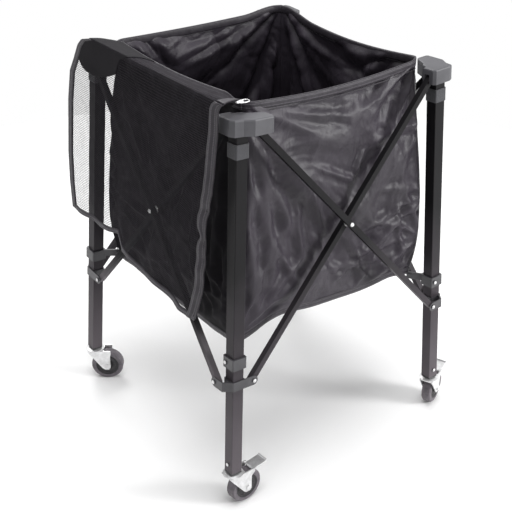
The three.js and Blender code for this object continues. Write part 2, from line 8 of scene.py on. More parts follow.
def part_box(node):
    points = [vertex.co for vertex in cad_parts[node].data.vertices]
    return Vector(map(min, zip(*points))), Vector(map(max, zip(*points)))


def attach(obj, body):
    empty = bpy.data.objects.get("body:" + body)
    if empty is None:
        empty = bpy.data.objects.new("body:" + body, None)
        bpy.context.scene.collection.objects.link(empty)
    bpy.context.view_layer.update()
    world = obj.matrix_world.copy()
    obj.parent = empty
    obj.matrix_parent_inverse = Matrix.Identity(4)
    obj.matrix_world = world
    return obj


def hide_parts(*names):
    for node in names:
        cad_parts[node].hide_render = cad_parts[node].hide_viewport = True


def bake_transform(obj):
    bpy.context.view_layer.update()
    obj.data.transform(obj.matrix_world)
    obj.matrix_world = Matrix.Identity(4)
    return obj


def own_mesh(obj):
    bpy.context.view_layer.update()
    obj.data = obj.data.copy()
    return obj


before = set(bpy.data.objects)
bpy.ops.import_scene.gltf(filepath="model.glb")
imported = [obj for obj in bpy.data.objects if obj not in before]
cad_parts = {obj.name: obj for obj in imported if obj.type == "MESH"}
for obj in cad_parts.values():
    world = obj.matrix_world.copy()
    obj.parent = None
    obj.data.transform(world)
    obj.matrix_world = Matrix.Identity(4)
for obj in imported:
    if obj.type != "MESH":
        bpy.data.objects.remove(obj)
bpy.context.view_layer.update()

# The view. The lens stands out past the cart's near leg, about chin high, and looks down into the
# bag. It is placed from the middle of the bag's floor, on which the legs centre.
floor_low, floor_high = (Vector(corner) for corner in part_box("bag_floor"))
middle = Vector(((floor_low.x + floor_high.x) / 2, (floor_low.y + floor_high.y) / 2, 0))
lens_at = Vector((-1.2325, -1.5804, 1.4701))
turn, tilt, roll = math.radians(-37.65), math.radians(28.9), 0.0139
back = Vector((math.sin(turn) * math.cos(tilt), -math.cos(turn) * math.cos(tilt), math.sin(tilt)))
right = Vector((math.cos(turn), math.sin(turn), 0))
up = back.cross(right)
right, up = right * math.cos(roll) + up * math.sin(roll), up * math.cos(roll) - right * math.sin(roll)
lens = bpy.data.cameras.new("lens")
lens.lens, lens.sensor_width, lens.clip_end = 72.6, 36, 50
camera = bpy.data.objects.new("camera", lens)
axes = Matrix((right, up, back)).transposed().to_4x4()
camera.matrix_world = Matrix.Translation(middle + lens_at) @ axes
bpy.context.collection.objects.link(camera)
bpy.context.scene.camera = camera


# The room. A pale floor under the cart and white all round it, lit by three broad soft lamps as in
# a studio for small goods. The white lights the cart less than it shows to the lens and in gloss.
def lamp(name, place, aim, size, power):
    light = bpy.data.lights.new(name, "AREA")
    light.shape, light.size, light.energy = "DISK", size, power
    holder = bpy.data.objects.new(name, light)
    holder.location = middle + Vector(place)
    holder.rotation_euler = (Vector(place) - Vector(aim)).to_track_quat("Z", "Y").to_euler()
    bpy.context.collection.objects.link(holder)


lamp("key_lamp", (2.3, -2.8, 1.35), (0, 0, 0.5), 1.1, 110)
lamp("top_lamp", (-0.3, -0.4, 3.4), (0, 0, 0.4), 2.0, 75)
lamp("rim_lamp", (0.6, 2.6, 2.8), (0, 0, 0.5), 1.8, 45)

scene = bpy.context.scene
scene.view_settings.view_transform = "Standard"
scene.world = bpy.data.worlds.new("room")
scene.world.use_nodes = True
room = scene.world.node_tree
white = (1, 1, 1, 1)
glow = room.nodes["Background"]
glow.inputs["Color"].default_value = white
glow.inputs["Strength"].default_value = 0.45
bright = room.nodes.new("ShaderNodeBackground")
bright.inputs["Color"].default_value = white
ray = room.nodes.new("ShaderNodeLightPath")
seen = room.nodes.new("ShaderNodeMath")
mirrored = room.nodes.new("ShaderNodeMath")
seen.operation = mirrored.operation = "MAXIMUM"
choose = room.nodes.new("ShaderNodeMixShader")
for source, socket in ((ray.outputs["Is Camera Ray"], seen.inputs[0]),
                       (ray.outputs["Is Transmission Ray"], seen.inputs[1]),
                       (seen.outputs[0], mirrored.inputs[0]),
                       (ray.outputs["Is Glossy Ray"], mirrored.inputs[1]),
                       (mirrored.outputs[0], choose.inputs[0]),
                       (glow.outputs[0], choose.inputs[1]),
                       (bright.outputs[0], choose.inputs[2]),
                       (choose.outputs[0], room.nodes["World Output"].inputs[0])):
    room.links.new(source, socket)


class Level:
    """A number that varies over a surface. Sums and products of it add Math nodes."""

    def __init__(self, finish, socket):
        self.finish, self.socket = finish, socket

    def math(self, operation, *others):
        node = self.finish.add("ShaderNodeMath", {"operation": operation}, self, *others)
        return Level(self.finish, node.outputs[0])

    def __add__(self, other):
        return self.math("ADD", other)

    def __sub__(self, other):
        return self.math("SUBTRACT", other)

    def __mul__(self, other):
        return self.math("MULTIPLY", other)

    def near(self, place, width):
        """1 within a width of a place, 0 outside."""
        return (self - place).math("ABSOLUTE").math("LESS_THAN", width)


class Finish:
    """A material on the Principled shader. add() makes any node; the rest are short ways to it."""

    def __init__(self, name, color=None, **uniform):
        self.material = bpy.data.materials.new(name)
        self.material.use_nodes = True
        self.tree = self.material.node_tree
        self.shader = self.tree.nodes["Principled BSDF"]
        if color:
            self.shader.inputs["Base Color"].default_value = (*color, 1)
        for key, value in uniform.items():
            self.shader.inputs[key.replace("_", " ")].default_value = value

    def add(self, kind, settings=None, *values, **named):
        node = self.tree.nodes.new(kind)
        for key, value in (settings or {}).items():
            if key == "stops":
                while len(node.color_ramp.elements) < len(value):
                    node.color_ramp.elements.new(1)
                for element, (place, tone) in zip(node.color_ramp.elements, value):
                    element.position = place
                    element.color = (*tone, 1)
            else:
                setattr(node, key, value)
        for key, value in [*enumerate(values), *named.items()]:
            socket = node.inputs[key if isinstance(key, int) else key.replace("_", " ")]
            if isinstance(value, Level):
                value = value.socket
            if isinstance(value, bpy.types.NodeSocket):
                self.tree.links.new(value, socket)
            else:
                socket.default_value = value
        return node

    def place(self, scale=(1, 1, 1)):
        where = self.add("ShaderNodeTexCoord").outputs["Object"]
        return self.add("ShaderNodeMapping", None, Vector=where, Scale=scale).outputs[0]

    def noise(self, scale, detail=2.0, place=None, distortion=0.0):
        node = self.add("ShaderNodeTexNoise", None, Vector=place or self.place(), Scale=scale,
                        Detail=detail, Distortion=distortion)
        return Level(self, node.outputs["Fac"])

    def parts(self, vector):
        node = self.add("ShaderNodeSeparateXYZ", None, Vector=vector)
        return [Level(self, node.outputs[axis]) for axis in "XYZ"]

    def ramp(self, level, *stops):
        return self.add("ShaderNodeValToRGB", {"stops": stops}, Fac=level).outputs["Color"]

    def clouded(self, level, dark, light):
        """A tone that drifts between two as a noise does, whose values lie mostly in its middle."""
        return self.ramp(level, (0.3, dark), (0.7, light))

    def feed(self, **sockets):
        for key, value in sockets.items():
            source = value.socket if isinstance(value, Level) else value
            self.tree.links.new(source, self.shader.inputs[key.replace("_", " ")])

    def bump(self, level, strength, distance):
        node = self.add("ShaderNodeBump", None, Strength=strength, Distance=distance, Height=level)
        self.tree.links.new(node.outputs[0], self.shader.inputs["Normal"])


def dress(finish, *names):
    for name in names:
        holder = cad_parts[name]
        holder.data.materials.clear()
        holder.data.materials.append(finish.material)


def made(name, points, faces, finish, rounded=True, coordinates=None):
    """A mesh piece from its points and faces. Coordinates give each point's place in its own UV map."""
    mesh = bpy.data.meshes.new(name)
    mesh.from_pydata([tuple(point) for point in points], [], faces)
    mesh.materials.append(finish.material)
    if coordinates:
        layer = mesh.uv_layers.new(name="UVMap")
        for loop in mesh.loops:
            layer.data[loop.index].uv = coordinates[loop.vertex_index]
    if rounded:
        mesh.shade_smooth()
    piece = bpy.data.objects.new(name, mesh)
    bpy.context.collection.objects.link(piece)
    return piece


def circle(count):
    """Angles spaced evenly round a circle."""
    return [2 * math.pi * k / count for k in range(count)]


def band(here, there, count):
    """Faces between two rings of points, each ring given by the number of its first point."""
    return [(here + k, here + (k + 1) % count, there + (k + 1) % count, there + k) for k in range(count)]


def sweep(name, rings, finish, along):
    """A closed strip or cord through rings of points. Its UV map is metres along and a share around."""
    count = len(rings[0])
    points = [point for ring in rings for point in ring]
    coordinates = [(run, k / count) for run in along for k in range(count)]
    faces = [face for i in range(len(rings) - 1) for face in band(i * count, (i + 1) * count, count)]
    faces += [tuple(range(count))[::-1], tuple(range(len(points) - count, len(points)))]
    return made(name, points, faces, finish, True, coordinates)


# The floor is a plain round matt board, pale enough to meet the white behind it.
board_radius, board_points = 1.9, 96
paper = Finish("pale_floor", (0.93, 0.93, 0.93), Roughness=0.9)
board_rim = [(board_radius * math.cos(a), board_radius * math.sin(a), 0) for a in circle(board_points)]
ground = made("floor_board", board_rim, [tuple(range(board_points))], paper, False)

corners = ("front", "right", "back", "left")
sides = ("front_right", "right_back", "back_left", "left_front")
lid_side = 3

# The four legs lean in at the top. A leg's own frame has its axis on Z, with zero under the cap, and a
# side's frame has X along the side, Y into the bag and Z up the legs' plane.
lean, half_spacing, cap_under = math.radians(2.94), 0.243, 0.794
slope = math.tan(lean)
quarters = [Matrix.Translation(middle) @ Matrix.Rotation(k * math.pi / 2, 4, "Z") for k in range(4)]
side_frames = [quarter @ Matrix.Translation((0, -half_spacing, cap_under)) @ Matrix.Rotation(-lean, 4, "X")
               for quarter in quarters]
leg_frames = [side @ Matrix.Translation((-half_spacing, 0, 0))
              @ Matrix.Rotation(math.atan(slope / math.hypot(1, slope)), 4, "Y") for side in side_frames]


def on_leg(level):
    """Where a level over the floor lies on a leg's own axis."""
    return -(cap_under - level) * math.sqrt(1 + 2 * slope * slope)


# Legs and bars are square alloy tube, coated satin black, painted greyer low down: a painted reflection
# of the pale floor. The bars under the lid are a darker, duller copy of the black in painted shade.
floor_glint_level, floor_glint_rate = 0.30, -2.2
shaded_low_light_level, shaded_low_light_rate = 0.34, -9.0
tube_black = Finish("satin_black", Specular_IOR_Level=0.13)
grain = tube_black.noise(40, 3, tube_black.place((6, 6, 0.5)))
mottle = tube_black.noise(14, 3)
level = tube_black.parts(tube_black.place())[2]
# Painted reflection of the floor: the base colour turns greyer below 0.30 m up the legs and bars.
low_painted_light = (level - floor_glint_level) * floor_glint_rate + 0.5 + (mottle - 0.5) * 0.3
tube_black.feed(Base_Color=tube_black.ramp(low_painted_light, (0.0, (0.008, 0.0075, 0.0085)),
                                           (0.5, (0.046, 0.040, 0.046)), (1.0, (0.103, 0.090, 0.100))),
                Roughness=grain * 0.2 + 0.28)
tube_black.bump(grain, 0.08, 0.0004)
dress(tube_black, *(f"leg_tube_{name}" for name in corners))
dress(tube_black, *(f"{kind}_bar_{name}" for kind in ("outer", "inner") for name in sides[:lid_side]))
# Painted shade: a darker, duller copy of the black for the bars under the lid, with painted light on their
# lower ends.
shaded_tube = Finish("shaded_black", Roughness=0.6, Specular_IOR_Level=0.06)
level = shaded_tube.parts(shaded_tube.place())[2]
low_painted_light = (level - shaded_low_light_level) * shaded_low_light_rate + 0.5 + (shaded_tube.noise(60, 3) - 0.5) * 0.2
shaded_tube.feed(Base_Color=shaded_tube.ramp(low_painted_light, (0.0, (0.010, 0.010, 0.011)), (1.0, (0.16, 0.145, 0.157))))
dress(shaded_tube, "outer_bar_left_front", "inner_bar_left_front")

# The caps are moulded in dark grey plastic, each over a leg and the upper ends of two bars.
cap_grey = Finish("cap_plastic", Specular_IOR_Level=0.4)
speck = cap_grey.noise(900, 2)
cloud = cap_grey.noise(22, 3)
cap_grey.feed(Base_Color=cap_grey.clouded(cloud, (0.058, 0.057, 0.064), (0.09, 0.089, 0.098)),
              Roughness=cloud * 0.15 + 0.4)
cap_grey.bump(speck, 0.15, 0.0003)
dress(cap_grey, *(f"top_cap_{name}" for name in corners))

# The straps under the caps are dark webbing, woven across, sewn round each leg.
web = Finish("webbing", Roughness=0.85, Sheen_Weight=0.2, Sheen_Roughness=0.5)
thread = Level(web, web.add("ShaderNodeTexWave", {"bands_direction": "Z"}, Vector=web.place(), Scale=380,
                            Distortion=0.4).outputs["Fac"])
fluff = web.noise(700, 2)
web.feed(Base_Color=web.ramp(thread * 0.6 + fluff * 0.4, (0.2, (0.03, 0.03, 0.034)),
                             (0.8, (0.07, 0.07, 0.078))))
web.bump(thread, 0.5, 0.0004)
dress(web, *(f"leg_strap_{name}" for name in corners))

# The brackets are pressed steel under a black powder coat, fixed or sliding on the legs.
coat = Finish("black_coat", Coat_Weight=0.2, Coat_Roughness=0.25)
peel = coat.noise(420, 2)
tone = coat.noise(30, 2)
coat.feed(Base_Color=coat.clouded(tone, (0.028, 0.027, 0.031), (0.05, 0.048, 0.054)),
          Roughness=peel * 0.15 + 0.32)
coat.bump(peel, 0.15, 0.0003)
dress(coat, *(f"upper_bracket_{name}" for name in corners), *(f"slider_bracket_{name}" for name in corners))

# Rivets, axles, forks and pedals are steel under bright zinc plate, a little clouded.
zinc = Finish("zinc_plate", Metallic=0.75)
flow = zinc.noise(90, 4)
zinc.feed(Base_Color=zinc.clouded(flow, (0.6, 0.6, 0.6), (0.83, 0.83, 0.84)), Roughness=flow * 0.2 + 0.25)
zinc.bump(flow, 0.1, 0.0005)
dress(zinc, *(f"centre_rivet_{name}" for name in sides), "brake_pedal_front", "brake_pedal_right",
      *(f"{kind}_{name}" for kind in ("axle", "caster_fork") for name in corners))

# A black plastic plug closes the lower end of each leg round the caster's stem.
plug = Finish("plug_plastic")
plug.feed(Base_Color=plug.clouded(plug.noise(60, 3), (0.025, 0.024, 0.026), (0.05, 0.048, 0.05)),
          Roughness=plug.noise(300, 2) * 0.2 + 0.45)
dress(plug, *(f"foot_plug_{name}" for name in corners))

# Each bracket and foot shows the round heads of its rivets, bright zinc over a thin washer. A head's
# outline is in shares of its radius and its height, from the washer's edge to the top of the dome,
# and its place is in the leg's own frame, turned onto the diagonal for the bracket's arm.
head_outline = ((1.45, 0.0), (1.45, 0.16), (1.0, 0.22), (0.94, 0.5), (0.7, 0.84), (0.35, 0.98))
head_points, head_height = 16, 0.75
large_head, small_head = 0.0028, 0.0026


def rivet_heads(name, places, body):
    points, faces = [], []
    for place, radius in places:
        first = len(points)
        for share, rise in head_outline:
            points += [place @ Vector((radius * share * math.cos(a), radius * share * math.sin(a),
                                       radius * head_height * rise)) for a in circle(head_points)]
        top = len(points)
        points.append(place @ Vector((0, 0, radius * head_height)))
        last = top - head_points
        for here in range(first, last, head_points):
            faces += band(here, here + head_points, head_points)
        faces += [(last + k, last + (k + 1) % head_points, top) for k in range(head_points)]
        faces.append(tuple(range(first, first + head_points))[::-1])
    piece = made(name, points, faces, zinc)
    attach(piece, body)


bracket_level, pivot_level, foot_level = 0.352, 0.292, 0.088
facing = {"-x": Matrix.Rotation(-math.pi / 2, 4, "Y"), "y": Matrix.Rotation(-math.pi / 2, 4, "X"),
          "-y": Matrix.Rotation(math.pi / 2, 4, "X")}
diagonal = Matrix.Rotation(math.pi / 4, 4, "Z")
top, pivot, foot = on_leg(bracket_level), on_leg(pivot_level), on_leg(foot_level)
leg_heads = ((Matrix.Translation((-0.0188, 0.007, top - 0.012)) @ facing["-x"], large_head),
             (diagonal @ Matrix.Translation((0.0539, 0.0042, top + 0.010)) @ facing["y"], small_head),
             (diagonal @ Matrix.Translation((0.0539, -0.0042, top + 0.010)) @ facing["-y"], small_head),
             (Matrix.Translation((-0.0150, 0, foot + 0.018)) @ facing["-x"], small_head))
slider_heads = ((Matrix.Translation((0.036, -0.0174, pivot)) @ facing["-y"], large_head),
                (Matrix.Translation((-0.0328, 0.025, pivot)) @ facing["-x"], large_head))
for leg, name in zip(leg_frames, corners):
    rivet_heads(f"leg_rivets_{name}", [(leg @ place, radius) for place, radius in leg_heads], f"leg_{name}")
    rivet_heads(f"slider_rivets_{name}", [(leg @ place, radius) for place, radius in slider_heads],
                f"slider_{name}")

# The wheels are grey tyres on darker hubs, with fine wear on the tread. The hub is a dished disc with
# ribs from its boss to the rim, one on each face. Its outline is in radii and rises, in metres.
tyre = Finish("tyre_rubber", Roughness=0.6)
scuff = tyre.noise(120, 3)
tyre.feed(Base_Color=tyre.ramp(scuff, (0.3, (0.085, 0.075, 0.086)), (0.75, (0.15, 0.134, 0.15))))
tyre.bump(scuff, 0.2, 0.0005)
dress(tyre, *(f"wheel_{name}" for name in corners))
hub = Finish("hub_plastic")
hub.feed(Base_Color=hub.clouded(hub.noise(80, 3), (0.012, 0.011, 0.013), (0.028, 0.026, 0.029)),
         Roughness=hub.noise(250, 2) * 0.2 + 0.4)
hub_outline = ((0.0094, 0.0), (0.0094, 0.0006), (0.0125, 0.0006), (0.0135, 0.0016), (0.0205, 0.0016),
               (0.0215, 0.0006), (0.0242, 0.0006), (0.0266, 0.0032), (0.0266, 0.0026), (0.0242, 0.0))
hub_points, hub_half, rib_from, rib_to, rib_height = 48, 0.0082, 0.013, 0.021, 0.0014
wheel_radius, wheel_sides, trail, swivels = 0.0375, 28, 0.028, (3, -67, -160, 52)
foot_half = half_spacing + slope * (cap_under - foot_level)
for quarter, name, swivel in zip(quarters, corners, swivels):
    wheel_frame = (quarter @ Matrix.Translation((-foot_half, -foot_half, 0))
                   @ Matrix.Rotation(math.radians(swivel), 4, "Z")
                   @ Matrix.Translation((trail, 0, wheel_radius * math.cos(math.pi / wheel_sides))))
    points, faces = [], []
    for face in (-1, 1):
        first = len(points)
        for radius, rise in hub_outline:
            for k, a in enumerate(circle(hub_points)):
                rib = rib_height if k % 8 < 2 and rib_from < radius < rib_to else 0
                points.append(wheel_frame @ Vector((radius * math.cos(a), face * (hub_half + rise + rib),
                                                    radius * math.sin(a))))
        for j in range(len(hub_outline)):
            here, there = first + j * hub_points, first + (j + 1) % len(hub_outline) * hub_points
            faces += [quad[::face] for quad in band(here, there, hub_points)]
    disc = made(f"hub_discs_{name}", points, faces, hub)
    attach(disc, f"wheel_{name}")

# The bag is a dark coated nylon, thin and shiny, that creases finely all over. The side under the lid has
# painted shade: a darker, duller copy of the cloth. Its hems and bindings are the same cloth doubled, with
# two rows of stitches that follow the strip's own UV map.
cloth = Finish("bag_cloth", Specular_IOR_Level=0.28)
weave = cloth.noise(1800, 1)
cloud = cloth.noise(9, 4)
wrinkle = cloth.noise(34, 4, cloth.place((1, 1, 0.6)), 0.9)
cloth.feed(Base_Color=cloth.clouded(cloud, (0.022, 0.0185, 0.0245), (0.037, 0.031, 0.041)),
           Roughness=cloud * 0.15 + 0.34)
crumple = cloth.noise(15, 3, cloth.place((1, 1, 0.7)), 0.5)
crumple = (crumple - 0.5).math("ABSOLUTE").math("POWER", 0.6)
cloth.bump(weave * 0.15 + wrinkle * 1.2 - crumple * 1.6, 0.6, 0.0022)

# Painted shade: the bag cloth made darker and duller, for cloth that lies in shade under the lid's net.
shaded = Finish("shaded_cloth", Roughness=0.7, Specular_IOR_Level=0.08)
shaded.feed(Base_Color=shaded.clouded(shaded.noise(9, 4), (0.006, 0.0055, 0.0068), (0.012, 0.0105, 0.013)))
shaded.bump(shaded.noise(40, 4), 0.5, 0.0015)

stitch_rows, stitch_half, stitches_per_metre, stitch_share = (0.15, 0.225), 0.009, 330, 0.62
seam = Finish("seam_cloth", Specular_IOR_Level=0.25)
run, around, _ = seam.parts(seam.add("ShaderNodeUVMap").outputs[0])
dash = (run * stitches_per_metre).math("FRACT").math("LESS_THAN", stitch_share)
first_row, second_row = (around.near(row, stitch_half) for row in stitch_rows)
stitch = (first_row + second_row) * dash
folded = seam.noise(60, 3)
seam.feed(Base_Color=seam.ramp(stitch * 0.75 + folded * 0.25, (0.05, (0.022, 0.019, 0.024)),
                               (0.2, (0.038, 0.034, 0.041)), (1.0, (0.11, 0.10, 0.115))),
          Roughness=folded * 0.2 + 0.36)
seam.bump(folded * 1.6 + stitch * 0.5 + seam.noise(1500, 1) * 0.15, 0.55, 0.0016)

# The bag's even shape. It is square at its rim, fills out to the legs under the caps and tucks in
# again below. Shares u run along a side to the next corner, and shares v up to the rim.
bag_half, bag_high = 0.222, 0.44
bag_wide = 2 * bag_half
rim_level, floor_level, floor_corner_level = 0.836, 0.372, 0.357
fill_level, fill_drop, fill_out = 0.80, 0.33, 0.0215
tuck_level, tuck_ease = 0.47, 0.55
lid_rise, ear_rise, rim_sags = 0.0127, 0.007, (0.013, 0.018, 0.004, 0.013)


def smooth(value):
    t = min(1.0, max(0.0, value))
    return t * t * (3 - 2 * t)


def bell(value, place, width):
    """1 at a place, falling to nothing on both sides over about twice the width."""
    return math.exp(-((value - place) / width) ** 2)


def half_at(level):
    """Half the bag's width at a level."""
    fill = min(1, max(0, (fill_level - level) / fill_drop))
    tuck = max(0, tuck_level - level)
    return bag_half + fill_out * math.sin(math.pi / 2 * fill) - 0.5 * tuck ** 2 / tuck_ease


def low_edge(side, u):
    """The level of the bag's lower edge along a side. Under the lid it hangs deeper."""
    level = floor_level - 0.015 * (1 - smooth(min(u, 1 - u) * 2 * bag_half / 0.072))
    bow = math.sin(math.pi * u)
    if side == lid_side:
        return level - 0.034 * max(0, bow) ** 0.35 - 0.008 * bell(u, 0.84, 0.09) * (1 - u ** 20)
    return level + bow * (0.022 * bell(u, 0.2, 0.13) - 0.011 * bell(u, 0.75, 0.2))


# The creases of a side. Folds fan out from each corner that is pulled, long ones cross the side and
# rumples fill what is between. A long fold's row has its start and end in shares of the side, half
# its width and its height in metres. A fan's row has its corner, count, phase, height and reach.
fold_wide, fold_high, fold_before, fold_past = 0.48, 0.45, 0.15, 1.15
folds = ((0.05, 0.86, 0.27, 0.40, 0.022, 0.012), (0.11, 0.70, 0.18, 0.22, 0.022, 0.010),
         (0.29, 0.51, 0.32, 0.26, 0.017, 0.008), (0.99, 0.38, 0.64, 0.32, 0.014, 0.006),
         (0.99, 0.36, 0.66, 0.18, 0.016, 0.008), (0.99, 0.40, 0.73, 0.49, 0.014, 0.005),
         (0.59, 0.57, 0.40, 0.67, 0.012, 0.006), (0.60, 0.59, 0.66, 0.70, 0.012, 0.006),
         (0.99, 0.73, 0.67, 0.72, 0.018, 0.007), (0.51, 0.10, 0.74, 0.25, 0.015, 0.006),
         (0.51, 0.13, 0.40, 0.33, 0.015, 0.006), (0.15, 0.10, 0.32, 0.26, 0.015, 0.006),
         (0.84, 0.99, 0.67, 0.82, 0.022, 0.009), (0.18, 0.95, 0.62, 0.85, 0.016, 0.006),
         (0.40, 0.19, 0.81, 0.12, 0.014, 0.005), (0.03, 0.60, 0.10, 0.08, 0.022, 0.010),
         (0.59, 0.28, 0.67, 0.05, 0.014, 0.005), (0.83, 0.36, 0.91, 0.06, 0.014, 0.006),
         (0.37, 0.54, 0.44, 0.35, 0.014, 0.006), (0.19, 0.35, 0.30, 0.12, 0.014, 0.006))
fans = (((0, 1), 6.5, 0.4, 0.0130, 0.40), ((1, 1), 5.0, 1.3, 0.0150, 0.42),
        ((1, 0.18), 5.0, 0.6, 0.0120, 0.34), ((0, 0.05), 4.0, 2.1, 0.0120, 0.34))
rumples = ((0.75, 1.5, 0.0100), (-0.7, 2.4, 0.0060), (1.1, 4.6, 0.0028), (-0.2, 9.0, 0.0012))
crease_top, crease_knee, crease_ease = 0.006, 0.003, 0.0025


def fan(u, v, corner, count, phase, depth, reach):
    """Folds that spread from a corner that is pulled: sharp crests with broad hollows between them."""
    across, down = abs(u - corner[0]) * bag_wide, abs(v - corner[1]) * bag_high
    far = math.hypot(across, down)
    angle = math.atan2(down, across + 1e-6) + 0.10 * noise.noise(Vector((u * 5, v * 5, phase)))
    crest = (1 - abs(math.sin(count * angle + phase))) ** 1.6
    return depth * (crest - 0.35) * smooth(far / 0.05) * (1 - smooth((far - 0.3 * reach) / (0.7 * reach)))


def long_fold(x, y, u_start, v_start, u_end, v_end, width, depth):
    """One long fold: a sharp crest with a shallow hollow on each side, fading out past its ends."""
    from_x, from_y = u_start * fold_wide, v_start * fold_high
    way_x, way_y = u_end * fold_wide - from_x, v_end * fold_high - from_y
    length = math.hypot(way_x, way_y)
    along = ((x - from_x) * way_x + (y - from_y) * way_y) / length ** 2
    off = abs((x - from_x) * way_y - (y - from_y) * way_x) / length
    if not -fold_before < along < fold_past or off >= width * 2:
        return 0
    ends = smooth((along + fold_before) / 0.3) * smooth((fold_past - along) / 0.4)
    hollow = math.sin(math.pi * off / width / 2) ** 2
    return depth * ends * (max(0, 1 - off / width) ** 1.4 - 0.35 * hollow)


def creases(side, u, v):
    """How far the cloth stands out of its even shape, in metres. Crests are held off the bars."""
    x, y = (u if side % 2 == 0 else 1 - u) * fold_wide, v * fold_high
    y += 0.006 * noise.noise(Vector((u * 6, v * 6, side * 2.1)))
    out = 0
    for fold in folds:
        out += long_fold(x, y, *fold)
    for corner, count, phase, depth, reach in fans:
        out += fan(u, v, corner, count, phase + side, depth, reach)
    for angle, scale, depth in rumples:
        p = u * math.cos(angle) + v * math.sin(angle)
        q = v * math.cos(angle) - u * math.sin(angle)
        bend = 0.25 * noise.noise(Vector((u * 2, v * 2, side + scale)))
        swing = noise.noise(Vector((p * scale, (q + bend) * scale * 3.0, side * 3.7 + scale)))
        out += depth * (0.32 - abs(swing) ** 0.95 * 1.8)
    edge = smooth(min(u, 1 - u) / 0.05) * smooth((1 - v) / 0.05) * smooth(v / 0.05)
    return (crease_top - math.log1p(math.exp((crease_knee - out) / crease_ease)) * crease_ease) * edge


def panel_point(side, u, v, out=0.0, even=False):
    """A point of a side of the bag. The rim rises under the flap and at the back corner."""
    edge = min(u, 1 - u) * 2
    bow = math.sin(math.pi * u)
    rise = lid_rise * smooth(edge * bag_half / 0.05) if side == lid_side else 0
    at_back = side == 1 and u > 0.5 or side == 2 and u <= 0.5
    ear = ear_rise * smooth((0.5 - edge) / 0.35) if at_back else 0
    low, high = low_edge(side, u), rim_level + rise + ear - rim_sags[side] * bow
    level = low + v * (high - low)
    half = half_at(level)
    swell = math.sin(math.pi * (0.1 + 0.8 * min(1, max(0, v))))
    out += 0.004 * bow * swell + (0 if even else creases(side, u, v))
    radius = 0.006 + 0.026 * min(1, max(0.0, v * 1.5))
    angle = math.pi / 4 * (1 - min(edge * half, radius) / radius)
    outward = Vector((math.copysign(math.sin(angle), u - 0.5), -math.cos(angle), 0))
    if edge * half < radius:
        point = Vector((math.copysign(half - radius, u - 0.5), radius - half, 0)) + outward * (radius + out)
    else:
        point = Vector(((2 * u - 1) * half, -half, 0)) + outward * out
    point.z = level
    return quarters[side] @ point


def grid(name, columns, rows, place, finish, thickness, offset=-1.0, strip=None):
    """A sheet over shares across and up. Its wall is behind its points, or with offset 0 round them."""
    shares = [(i / columns, j / rows) for j in range(rows + 1) for i in range(columns + 1)]
    row = columns + 1
    faces = [(first, first + 1, first + row + 1, first + row)
             for j in range(rows) for first in range(j * row, j * row + columns)]
    piece = made(name, [place(u, v) for u, v in shares], faces, finish, True,
                 [strip(u, v) for u, v in shares] if strip else shares)
    if thickness:
        wall = piece.modifiers.new("wall", "SOLIDIFY")
        wall.thickness, wall.offset = thickness, offset
        settled = bpy.data.meshes.new_from_object(piece.evaluated_get(bpy.context.evaluated_depsgraph_get()))
        piece.modifiers.clear()
        piece.data = settled
    return piece


def hung(piece, side):
    """Cloth that moves in with its side as the cart folds."""
    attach(piece, f"panel_{sides[side]}")
    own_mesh(piece)


# Each side of the bag is one sheet from its hem down to its binding, with a zip coil under the hem on
# the three sides that the lid closes over. A strip's outline is in metres out of the cloth and up.
cloth_wall = 0.0018
hem_outline = ((0.0003, -0.0145), (0.0011, -0.0125), (0.0012, -0.0015), (0.0004, 0.0008),
               (-0.0022, 0.0008), (-0.0031, -0.0015), (-0.0030, -0.0125), (-0.0022, -0.0145))
binding_outline = ((0.0004, 0.0085), (0.0015, 0.0065), (0.0016, -0.0045), (0.0004, -0.0065),
                   (-0.0024, -0.0065), (-0.0036, -0.0045), (-0.0034, 0.0065), (-0.0024, 0.0085))
coil_steps, coil_crest, coil_root, coil_below, coil_out = 300, 0.0013, 0.0009, 0.0175, 0.0008


def edging(name, side, edge, outline):
    """A doubled strip along a side's rim, where edge is 1, or along its lower edge, where it is 0."""
    shares = [k / 110 for k in range(111)]
    rings = [[panel_point(side, u, edge + rise / bag_high, out, True) for out, rise in outline]
             for u in shares]
    return sweep(name, rings, seam, [u * bag_wide for u in shares])


# The side under the lid takes the cloth in painted shade.
for side, name in enumerate(sides):
    panel = grid(f"bag_side_{name}", 150, 140, lambda u, v: panel_point(side, u, v),
                 shaded if side == lid_side else cloth, cloth_wall)
    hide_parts(f"bag_panel_{name}")
    hung(panel, side)
    trims = [edging(f"rim_hem_{name}", side, 1, hem_outline),
             edging(f"binding_{name}", side, 0, binding_outline)]
    if side != lid_side:
        rings = []
        for k in range(coil_steps + 1):
            u, radius = 0.02 + 0.96 * k / coil_steps, coil_crest if k % 2 else coil_root
            rings.append([panel_point(side, u, 1 + (radius * math.sin(a) - coil_below) / bag_high,
                                      coil_out + radius * math.cos(a), True) for a in circle(6)])
        trims.append(sweep(f"rim_zip_{name}", rings, seam,
                           [bag_wide * k / coil_steps for k in range(coil_steps + 1)]))
    for trim in trims:
        hung(trim, side)


# The floor of the bag is cut in nine, so that as the cart folds its corners can go in with the legs. It
# hangs a little in the middle and runs down to the four corners. The middle patch takes the inner share of
# the half width.
def floor_point(s, t):
    """A point of the floor at signed shares of its half width, along X and along Y."""
    u, v = abs(s), abs(t)
    front_or_back = low_edge(0 if t < 0 else 2, (1 + (s if t < 0 else -s)) / 2)
    right_or_left = low_edge(1 if s > 0 else 3, (1 + (t if s > 0 else -t)) / 2)
    edge = floor_level + (front_or_back - floor_level) * v ** 3 + (right_or_left - floor_level) * u ** 3
    edge += (floor_corner_level - edge) * (u * v) ** 6
    inside_x, inside_y = math.cos(math.pi / 2 * u), math.cos(math.pi / 2 * v)
    sag = 0.012 * inside_x * inside_y
    puff = 0.004 * noise.noise(Vector((s * 2.7, t * 2.7, 2.5))) * inside_x * inside_y
    half = half_at(edge) - 0.001
    return Vector((s * half, t * half, edge + 0.0015 - sag + puff)) + middle


